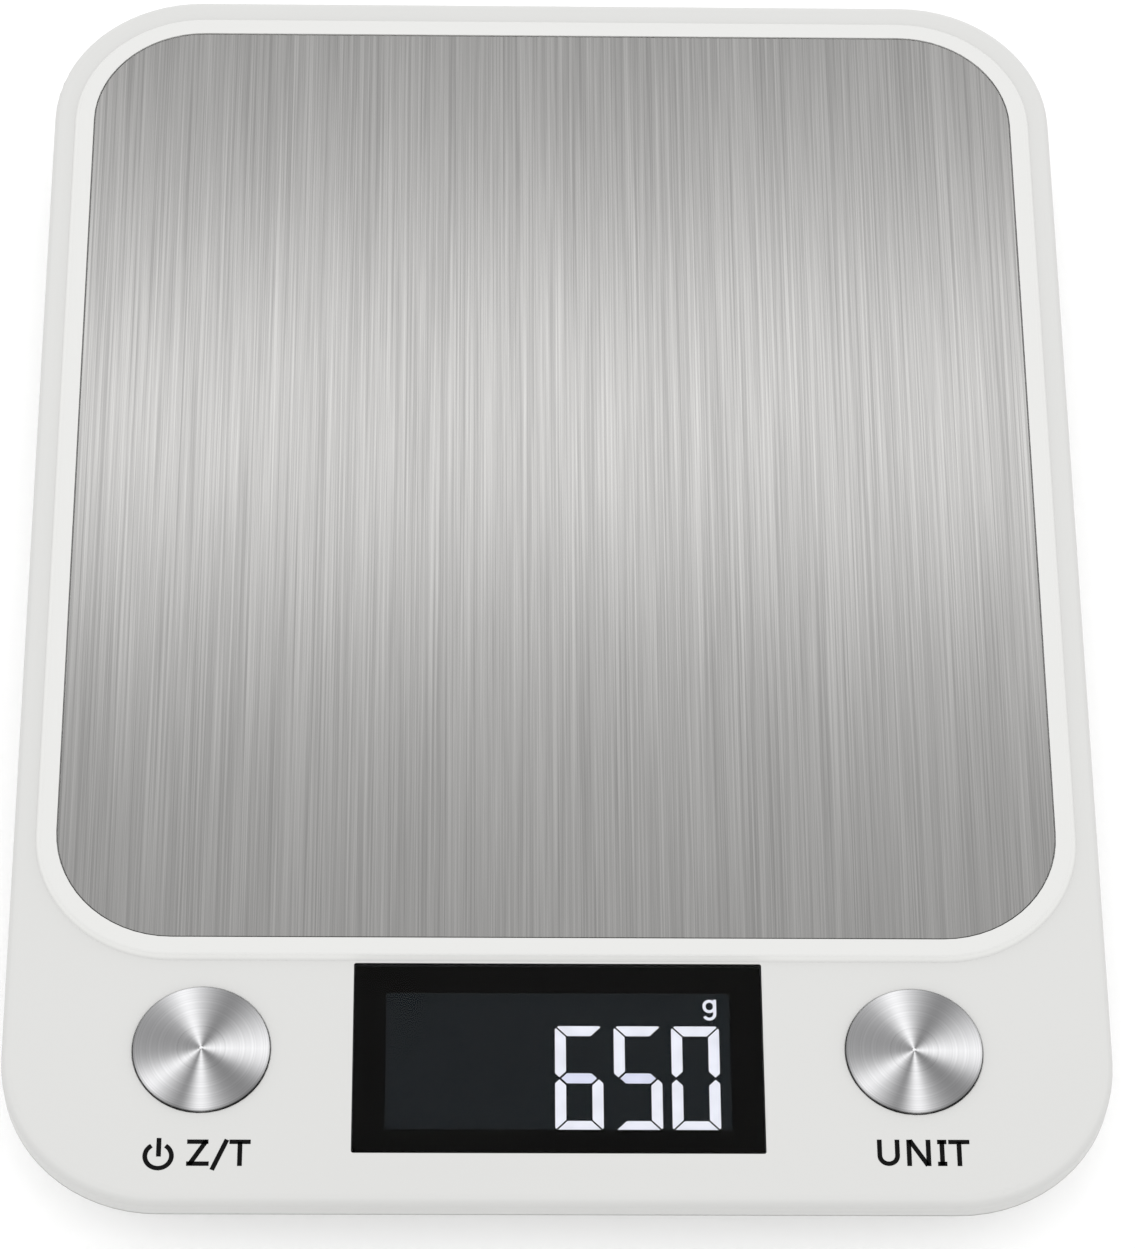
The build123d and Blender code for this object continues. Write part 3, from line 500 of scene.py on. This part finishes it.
def smooth_copy(node, material, body, smooth_angle=32.0):
    """A merged copy of a CAD node, shaded smoothly across its rounded edges."""
    source = NODES[node].data
    merged = bmesh.new()
    merged.from_mesh(source)
    bmesh.ops.remove_doubles(merged, verts=merged.verts, dist=0.001 * MM)
    mesh = bpy.data.meshes.new(node + "_finished")
    merged.to_mesh(mesh)
    merged.free()
    piece = link_piece(node + "_finished", mesh, material, body, smooth_angle)
    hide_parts(node)
    return piece


def rounded_ring(low, high, inset, radius, steps=14):
    """Points round a rectangle moved in by an inset: quarter circles about each corner's centre."""
    quarter = np.linspace(0, math.pi / 2, steps)
    angles = np.concatenate([quarter + k * math.pi / 2 for k in range(4)])
    side_x = np.repeat([1, -1, -1, 1], steps)
    side_y = np.repeat([1, 1, -1, -1], steps)
    centre = (np.array(low[:2]) + np.array(high[:2])) / 2
    half = (np.array(high[:2]) - np.array(low[:2])) / 2
    x = centre[0] + side_x * (half[0] - radius) + (radius - inset) * np.cos(angles)
    y = centre[1] + side_y * (half[1] - radius) + (radius - inset) * np.sin(angles)
    return np.stack([x, y], axis=1)


def lofted_mesh(name, rings, capped=True):
    """Rings of equal length joined by quads, closed by a flat face at each end."""
    rings = np.asarray(rings)
    count, around = rings.shape[:2]
    here = np.arange(around)
    beyond = np.roll(here, -1)
    starts = np.arange(count - 1)[:, None] * around
    ends = starts + around
    quads = np.stack([starts + here, starts + beyond, ends + beyond, ends + here], axis=2)
    faces = quads.reshape(-1, 4).tolist()
    if capped:
        faces += [list(range(around))[::-1], [(count - 1) * around + k for k in range(around)]]
    mesh = bpy.data.meshes.new(name)
    mesh.from_pydata(rings.reshape(-1, 3).tolist(), [], faces)
    return mesh


def slab_mesh(name, low, high, radius, edge, steps=14, edge_steps=5):
    """A rounded rectangular slab whose top and bottom edges are quarter circles of a small radius."""
    turn = np.linspace(0, math.pi / 2, edge_steps)
    insets = np.concatenate([edge * (1 - np.sin(turn)), edge * (1 - np.cos(turn))])
    heights = np.concatenate([low[2] + edge * (1 - np.cos(turn)), high[2] - edge * (1 - np.sin(turn))])
    rings = []
    for inset, z in zip(insets, heights):
        ring = rounded_ring(low, high, inset, radius, steps)
        rings.append(np.column_stack([ring, np.full(len(ring), z)]))
    return lofted_mesh(name, rings)


def turned_mesh(name, centre, profile, around=128):
    """A profile of (radius, height) points turned about an upright axis, with a flat face at each end."""
    profile = np.asarray(profile)
    angle = np.linspace(0, 2 * math.pi, around, endpoint=False)
    x = centre[0] + profile[:, :1] * np.cos(angle)
    y = centre[1] + profile[:, :1] * np.sin(angle)
    z = np.repeat(profile[:, 1:], around, axis=1)
    return lofted_mesh(name, np.stack([x, y, z], axis=2))


def prism_mesh(name, outlines, bottom, top):
    """Flat shapes, each a closed outline, raised between two heights."""
    points, faces = [], []
    for outline in outlines:
        ring = np.asarray(outline)
        count, start = len(ring), len(points)
        for z in (bottom, top):
            points += [(x, y, z) for x, y in ring]
        here = np.arange(count)
        beyond = np.roll(here, -1)
        walls = np.stack([here, beyond, beyond + count, here + count], axis=1) + start
        faces += walls.tolist()
        faces += [[start + k for k in range(count)][::-1], [start + count + k for k in range(count)]]
    mesh = bpy.data.meshes.new(name)
    mesh.from_pydata(points, [], faces)
    return mesh


def frame_mesh(name, outer, inner, bottom, top):
    """A flat frame between two rings of equal length."""
    rings = [
        np.column_stack([ring, np.full(len(ring), z)])
        for ring, z in ((outer, bottom), (outer, top), (inner, top), (inner, bottom), (outer, bottom))
    ]
    mesh = lofted_mesh(name, rings, capped=False)
    closed = bmesh.new()
    closed.from_mesh(mesh)
    bmesh.ops.remove_doubles(closed, verts=closed.verts, dist=0.0001 * MM)
    bmesh.ops.recalc_face_normals(closed, faces=closed.faces)
    closed.to_mesh(mesh)
    closed.free()
    return mesh


def grain_map(mesh, to_uv, wraps=False):
    """Write a UV map named grain from a function of places; V runs past 1 on faces where it wraps."""
    corners = np.empty(len(mesh.loops), dtype=np.int32)
    mesh.loops.foreach_get("vertex_index", corners)
    places = np.empty(len(mesh.vertices) * 3, dtype=np.float32)
    mesh.vertices.foreach_get("co", places)
    places = places.reshape(-1, 3)[corners]
    layer = mesh.uv_layers.new(name="grain")
    placed = to_uv(places)
    if wraps:
        starts = np.array([face.loop_start for face in mesh.polygons])
        totals = np.array([face.loop_total for face in mesh.polygons])
        lowest = np.repeat(np.minimum.reduceat(placed[:, 1], starts), totals)
        highest = np.repeat(np.maximum.reduceat(placed[:, 1], starts), totals)
        placed[:, 1] += (highest - lowest > 0.5) & (placed[:, 1] < 0.5)
    layer.data.foreach_set("uv", placed.astype(np.float32).ravel())


# ---------------------------------------------------------------- pieces
PLATE_RADIUS = 19.4 * MM
PLATE_EDGE = 0.10 * MM
LENS_RADIUS = 0.3 * MM
LENS_EDGE = 0.10 * MM
CAP_EDGE = 0.25 * MM
CAP_RING = 0.22 * MM
CAP_RING_DEPTH = 0.0025 * MM
CAP_EYE = 0.3 * MM
CAP_LAST_RING = 0.4 * MM
PAD_EDGE = 0.4 * MM
PAD_EYE = 0.4 * MM
PAD_PITCH = 1.5 * MM
PAD_GROOVE = 0.22 * MM
LCD_RADIUS = 0.4 * MM
LCD_EDGE = 0.08 * MM
WINDOW_LOW = (-27.9 * MM, -106.65 * MM)
WINDOW_HIGH = (27.9 * MM, -82.3 * MM)


def make_plate(materials):
    """The weighing plate: a thin slab with a softened edge, its grain map turned across the brushing."""
    low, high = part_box("weighing_plate")
    mesh = slab_mesh("brushed_plate", low, high, PLATE_RADIUS, PLATE_EDGE, steps=24)
    grain_map(mesh, lambda p: p[:, :2] * 4.0 + 0.5)
    piece = link_piece("brushed_plate", mesh, materials["plate_steel"], "case", 50.0)
    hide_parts("weighing_plate")


def make_cap(side, materials):
    """A button cap: a disc with fine turned rings, a rounded edge and a straight skirt."""
    low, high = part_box("button_cap_" + side)
    centre = ((low.x + high.x) / 2, (low.y + high.y) / 2)
    radius = (high.x - low.x) / 2
    flat = radius - CAP_EDGE
    rings = np.arange(flat, CAP_LAST_RING, -CAP_RING / 2)
    ridge = np.where(np.arange(len(rings)) % 2 == 0, 0.0, CAP_RING_DEPTH)
    turn = np.linspace(0, math.pi / 2, 6)
    edge = [(flat + CAP_EDGE * math.cos(t), high.z - CAP_EDGE * (1 - math.sin(t))) for t in turn]
    face = list(zip(rings[1:], high.z - ridge[1:]))
    profile = [(CAP_EYE, low.z), (radius, low.z)] + edge + face + [(CAP_EYE, high.z)]
    mesh = turned_mesh("spun_cap_" + side, centre, profile)

    def polar(points):
        """U is the radius and V the angle about the cap's axis."""
        x, y = points[:, 0] - centre[0], points[:, 1] - centre[1]
        return np.stack([np.hypot(x, y) / radius, np.arctan2(y, x) / (2 * math.pi) % 1.0], axis=1)

    grain_map(mesh, polar, wraps=True)
    body = "button_" + side
    piece = link_piece("spun_cap_" + side, mesh, materials["button_metal"], body, 40.0)
    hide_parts("button_cap_" + side)


def make_lens(materials):
    """The clear window, and under it the black printed border with its tape."""
    low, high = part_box("display_lens")
    mesh = slab_mesh("clear_window", low, high, LENS_RADIUS, LENS_EDGE, steps=6)
    piece = link_piece("clear_window", mesh, materials["lens"], "case", 50.0)
    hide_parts("display_lens")
    tape_low, tape_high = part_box("lens_adhesive")
    outer = rounded_ring(tape_low, tape_high, 0.0, LENS_RADIUS, 6)
    inner = rounded_ring(WINDOW_LOW, WINDOW_HIGH, 0.0, LENS_RADIUS, 6)
    mask = frame_mesh("black_border", outer, inner, tape_low.z, tape_high.z)
    border = link_piece("black_border", mask, materials["border_ink"], "case", 40.0)
    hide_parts("lens_adhesive")


# Display contents, in millimetres on the LCD face
DIGIT_STROKE = 1.78
DIGIT_GAP = 0.2
DIGIT_CUT = 0.58
DIGIT_TOP = -87.65
DIGIT_BOTTOM = -106.35
DIGIT_SPANS = (("6", -0.5, 7.3), ("5", 9.05, 16.85), ("0", 18.4, 26.2))
SEGMENTS = {"0": "abcdef", "5": "acdfg", "6": "acdefg"}
UNIT_STROKE = 0.5
UNIT_BOWL = (0.86, 0.95)
UNIT_HOOK = (0.9, 0.95)
LIT_DEPTH = 0.03 * MM


def segment_outlines(left, right, top, bottom):
    """The seven segments of one digit: bars and posts cut at 45 degrees, and a dash pointed at both ends."""
    s, g, c = DIGIT_STROKE, DIGIT_GAP, DIGIT_CUT
    middle = (top + bottom) / 2
    near, far = 0.4 * s, 0.6 * s
    bar = [(left + (c + g) / 2, (c - g) / 2), (left + c, 0), (right - c, 0)]
    bar += [(right - (c + g) / 2, (c - g) / 2), (right - s - g, s), (left + s + g, s)]
    post = [((c - g) / 2, (c + g) / 2), (s, s + g), (s, (top - middle) - far - g)]
    post += [(near, (top - middle) - g), (0, (top - middle) - near - g), (0, c)]
    tip = near + 1.6 * g
    wide = tip + s / 2
    dash = [(left + tip, middle), (left + wide, middle - s / 2), (right - wide, middle - s / 2)]
    dash += [(right - tip, middle), (right - wide, middle + s / 2), (left + wide, middle + s / 2)]
    return {
        "a": [(x, top - y) for x, y in bar],
        "d": [(x, bottom + y) for x, y in bar],
        "f": [(left + x, top - y) for x, y in post],
        "b": [(right - x, top - y) for x, y in post],
        "e": [(left + x, bottom + y) for x, y in post],
        "c": [(right - x, bottom + y) for x, y in post],
        "g": dash,
    }


def arc(centre_x, centre_y, radius, start, end, steps=16):
    """Points along a circle between two angles in degrees."""
    angle = np.radians(np.linspace(start, end, steps))
    return np.stack([centre_x + radius * np.cos(angle), centre_y + radius * np.sin(angle)], axis=1)


def stroke(points, width):
    """The outline of a pen stroke: each point moved to both sides along the joint's mitre."""
    points = np.asarray(points, float)
    runs = np.diff(points, axis=0)
    runs /= np.linalg.norm(runs, axis=1, keepdims=True)
    normals = np.stack([-runs[:, 1], runs[:, 0]], axis=1)
    joints = np.vstack([normals[:1], normals[:-1] + normals[1:], normals[-1:]])
    joints /= np.linalg.norm(joints, axis=1, keepdims=True)
    sides = np.vstack([normals[:1], normals])
    reach = width / 2 / np.clip(np.sum(joints * sides, axis=1, keepdims=True), 0.35, 1.0)
    return np.vstack([points + joints * reach, (points - joints * reach)[::-1]])


def turned_outwards(outline):
    """The outline with its points going anticlockwise."""
    ring = np.asarray(outline, float)
    x, y = ring[:, 0], ring[:, 1]
    area = np.sum(x * np.roll(y, -1) - np.roll(x, -1) * y)
    return ring if area > 0 else ring[::-1]


def make_display(materials):
    """The LCD's dark face and the lit segments that lie on it."""
    low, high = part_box("lcd_panel")
    mesh = slab_mesh("lcd_face", low, high, LCD_RADIUS, LCD_EDGE, steps=5)
    face = link_piece("lcd_face", mesh, materials["lcd_glass"], "case", 50.0)
    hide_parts("lcd_panel")
    bright, pale = [], []
    for digit, left, right in DIGIT_SPANS:
        shapes = segment_outlines(left, right, DIGIT_TOP, DIGIT_BOTTOM)
        bright += [shapes[key] for key in SEGMENTS[digit] if key != "g"]
        pale += [shapes[key] for key in SEGMENTS[digit] if key == "g"]
    bowl = arc(0, 0, 1.0, 0, 360, 30) * UNIT_BOWL + (24.72, -84.0)
    hook = arc(0, 0, 1.0, 0, -150, 14) * UNIT_HOOK + (24.7, -85.35)
    bright += [stroke(bowl, UNIT_STROKE), stroke([(25.6, -82.8)] + list(hook), UNIT_STROKE)]
    for name, outlines in (("lit_segments", bright), ("lit_middles", pale)):
        rings = [turned_outwards(outline) * MM for outline in outlines]
        lit = prism_mesh(name, rings, high.z, high.z + LIT_DEPTH)
        link_piece(name, lit, materials[name], "case")


# Legends, in millimetres on the panel
LEGEND_STROKE = 0.77
LEGEND_DEPTH = 0.02 * MM
LEFT_TOP, LEFT_BOTTOM = -109.0, -113.6
RIGHT_TOP, RIGHT_BOTTOM = -108.7, -113.3


def legend_strokes():
    """Plain pen strokes: a power symbol, Z, a slash and T on the left, and U, N, I, T on the right."""
    pen = LEGEND_STROKE / 2
    top, bottom = LEFT_TOP - pen, LEFT_BOTTOM + pen
    strokes = [
        arc(-63.95, -111.9, 2.12, 122, 418, 40),
        [(-63.9, -108.75), (-63.9, -112.0)],
        [(-59.4, top), (-56.0, top)],
        [(-56.3, top + 0.2), (-59.0, bottom - 0.2)],
        [(-59.45, bottom), (-55.85, bottom)],
        [(-53.05, -109.0), (-55.35, -114.3)],
        [(-52.65, top), (-49.25, top)],
        [(-50.95, top), (-50.95, LEFT_BOTTOM)],
    ]
    top, bottom = RIGHT_TOP - pen, RIGHT_BOTTOM
    bowl = arc(52.8, RIGHT_BOTTOM + 1.8, 1.42, 180, 360, 16)
    strokes += [
        [(51.38, RIGHT_TOP)] + list(bowl) + [(54.22, RIGHT_TOP)],
        [(56.1, RIGHT_BOTTOM), (56.1, RIGHT_TOP)],
        [(56.25, RIGHT_TOP - 0.1), (59.05, RIGHT_BOTTOM + 0.1)],
        [(59.2, RIGHT_BOTTOM), (59.2, RIGHT_TOP)],
        [(61.4, RIGHT_BOTTOM), (61.4, RIGHT_TOP)],
        [(60.65, top), (62.15, top)],
        [(60.65, bottom + pen), (62.15, bottom + pen)],
        [(62.45, top), (65.85, top)],
        [(64.15, top), (64.15, RIGHT_BOTTOM)],
    ]
    return [stroke(points, LEGEND_STROKE) for points in strokes]


def make_legends(materials):
    """The printed legends beside the buttons."""
    panel_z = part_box("display_lens")[1].z
    outlines = [turned_outwards(outline) * MM for outline in legend_strokes()]
    mesh = prism_mesh("button_legends", outlines, panel_z, panel_z + LEGEND_DEPTH)
    link_piece("button_legends", mesh, materials["legend_ink"], "case")


def make_pad(corner, materials):
    """A foot's rubber pad: a sole grooved by the positive half of a cosine of the radius, a round edge."""
    low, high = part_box("foot_pad_" + corner)
    centre = ((low.x + high.x) / 2, (low.y + high.y) / 2)
    radius = (high.x - low.x) / 2
    sole = np.linspace(PAD_EYE, radius - PAD_EDGE, 90)
    depth = PAD_GROOVE * np.clip(np.cos(sole / PAD_PITCH * 2 * math.pi), 0, 1)
    turn = np.linspace(0, math.pi / 2, 6)[1:]
    rim = [(radius - PAD_EDGE * (1 - math.sin(t)), low.z + PAD_EDGE * (1 - math.cos(t))) for t in turn]
    profile = list(zip(sole, low.z + depth)) + rim + [(radius, high.z), (PAD_EYE, high.z)]
    name = "foot_pad_ridged_" + corner
    mesh = turned_mesh(name, centre, profile, around=96)
    piece = link_piece(name, mesh, materials["foot_rubber"], "foot_" + corner, 50.0)
    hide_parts("foot_pad_" + corner)


# A cell's profile in millimetres: radius, and distance from its button end or from its base
CELL_FRONT = ((0.2, 0.0), (1.7, 0.0), (1.9, 0.2), (1.9, 1.0), (4.6, 1.0), (4.85, 1.08), (5.0, 1.35),
              (5.25, 1.6))
CELL_BACK = ((5.25, 0.7), (5.15, 0.25), (4.8, 0.05), (3.9, 0.05), (3.7, 0.3), (0.2, 0.3))
CELL_SHOULDER = 1.3 * MM
CELL_BAND = 9.0 * MM
CELL_BASE = 0.5 * MM


def make_batteries(materials):
    """Both cells: a wrapped can with rolled ends and a button, turned about an axis along X."""
    for number in (1, 2):
        node = f"battery_cell_{number}"
        name = f"wrapped_cell_{number}"
        low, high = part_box(node)
        length = high.x - low.x
        profile = np.array(list(CELL_FRONT) + [(r, length / MM - x) for r, x in CELL_BACK]) * MM
        angle = np.linspace(0, 2 * math.pi, 64, endpoint=False)
        direction = 1 if number == 1 else -1
        start = high.x if number == 1 else low.x
        x = start - direction * profile[:, 1:] * np.ones_like(angle)
        y = (low.y + high.y) / 2 + profile[:, :1] * np.cos(angle)
        z = (low.z + high.z) / 2 + profile[:, :1] * np.sin(angle) * direction
        mesh = lofted_mesh(name, np.stack([x, y, z], axis=2))
        piece = link_piece(name, mesh, materials["battery_can"], "case", 35.0)
        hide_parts(node)
        mesh.materials.append(materials["contact_metal"])
        mesh.materials.append(materials["copper_band"])
        spans = np.abs(np.array([face.center.x for face in mesh.polygons]) - start)
        parts = [spans < CELL_SHOULDER, spans < CELL_BAND, spans > length - CELL_BASE]
        mesh.polygons.foreach_set("material_index", np.select(parts, [1, 2, 1], 0).astype(np.int32))


def make_materials():
    """Every finish, by the record's slot name, and the extra ones that single pieces need."""
    return {
        "case_plastic": case_material(),
        "plate_steel": plate_material(),
        "adhesive": moulded_plastic("tape", (0.55, 0.54, 0.50), 0.6),
        "border_ink": ink_material("border_ink", (0.0078, 0.0075, 0.0062)),
        "legend_ink": ink_material("legend_ink", (0.006, 0.006, 0.006)),
        "lens": lens_material(),
        "lcd_glass": lcd_material(),
        "lit_segments": lit_material("lit_segment", (0.86, 0.87, 0.95)),
        "lit_middles": lit_material("lit_middle", (0.72, 0.74, 0.90)),
        "light_guide": moulded_plastic("light_guide", (0.75, 0.80, 0.85), 0.2),
        "black_plastic": moulded_plastic("black_plastic", (0.02, 0.02, 0.021), 0.45),
        "strip_rubber": rubber_material("strip_rubber", (0.15, 0.15, 0.16)),
        "circuit_board": board_material(),
        "chip_resin": moulded_plastic("chip_resin", (0.01, 0.01, 0.01), 0.2),
        "zinc_steel": metal_material("zinc_steel", (0.45, 0.46, 0.48), (0.66, 0.67, 0.68)),
        "button_metal": spun_material(),
        "inner_plastic": moulded_plastic("inner_plastic", (0.62, 0.62, 0.60), 0.5),
        "switch_stem": moulded_plastic("switch_stem", (0.03, 0.03, 0.03), 0.4),
        "sensor_steel": metal_material("sensor_steel", (0.38, 0.38, 0.39), (0.58, 0.58, 0.59)),
        "gauge_coat": rubber_material("gauge_coat", (0.75, 0.75, 0.73)),
        "foot_plastic": moulded_plastic("foot_plastic", (0.60, 0.60, 0.59), 0.45),
        "foot_rubber": rubber_material("foot_rubber", (0.13, 0.13, 0.135)),
        "thin_wire": wire_material("thin_wire", (0.45, 0.05, 0.03)),
        "battery_can": battery_material(),
        "copper_band": metal_material("copper_band", (0.55, 0.27, 0.14), (0.72, 0.38, 0.20), 0.3),
        "contact_metal": metal_material("contact_metal", (0.50, 0.49, 0.46), (0.72, 0.71, 0.68), 0.25),
        "power_wire": wire_material("power_wire", (0.50, 0.03, 0.02)),
    }


# Starts of the names of CAD nodes with rounded edges
ROUNDED = ("top_cover", "bottom_cover", "battery_door", "foot_cup", "case_screws", "contact_", "battery_leads",
           "sensor_leads", "controller_chip", "button_plunger")


def finish_nodes(materials):
    """Every CAD node gets its slot's material; those with rounded edges are replaced by smooth copies."""
    slots = {entry["node"]: entry["material_slot"] for entry in frame["record"]["subparts"]}
    bodies = frame["record"]["behaviour"]["bodies"]
    body_of = {node: body for body, members in bodies.items() for node in members}
    for node, piece in NODES.items():
        material = materials[slots[node]]
        piece.data.materials.clear()
        piece.data.materials.append(material)
        if node.startswith(ROUNDED):
            smooth_copy(node, material, body_of[node])


make_camera()
make_floor()
make_lights()
finishes = make_materials()
finish_nodes(finishes)
make_plate(finishes)
make_lens(finishes)
make_display(finishes)
make_legends(finishes)
for side_name in SIDES:
    make_cap(side_name, finishes)
for corner_name in CORNERS:
    make_pad(corner_name, finishes)
make_batteries(finishes)

bpy.context.view_layer.update()
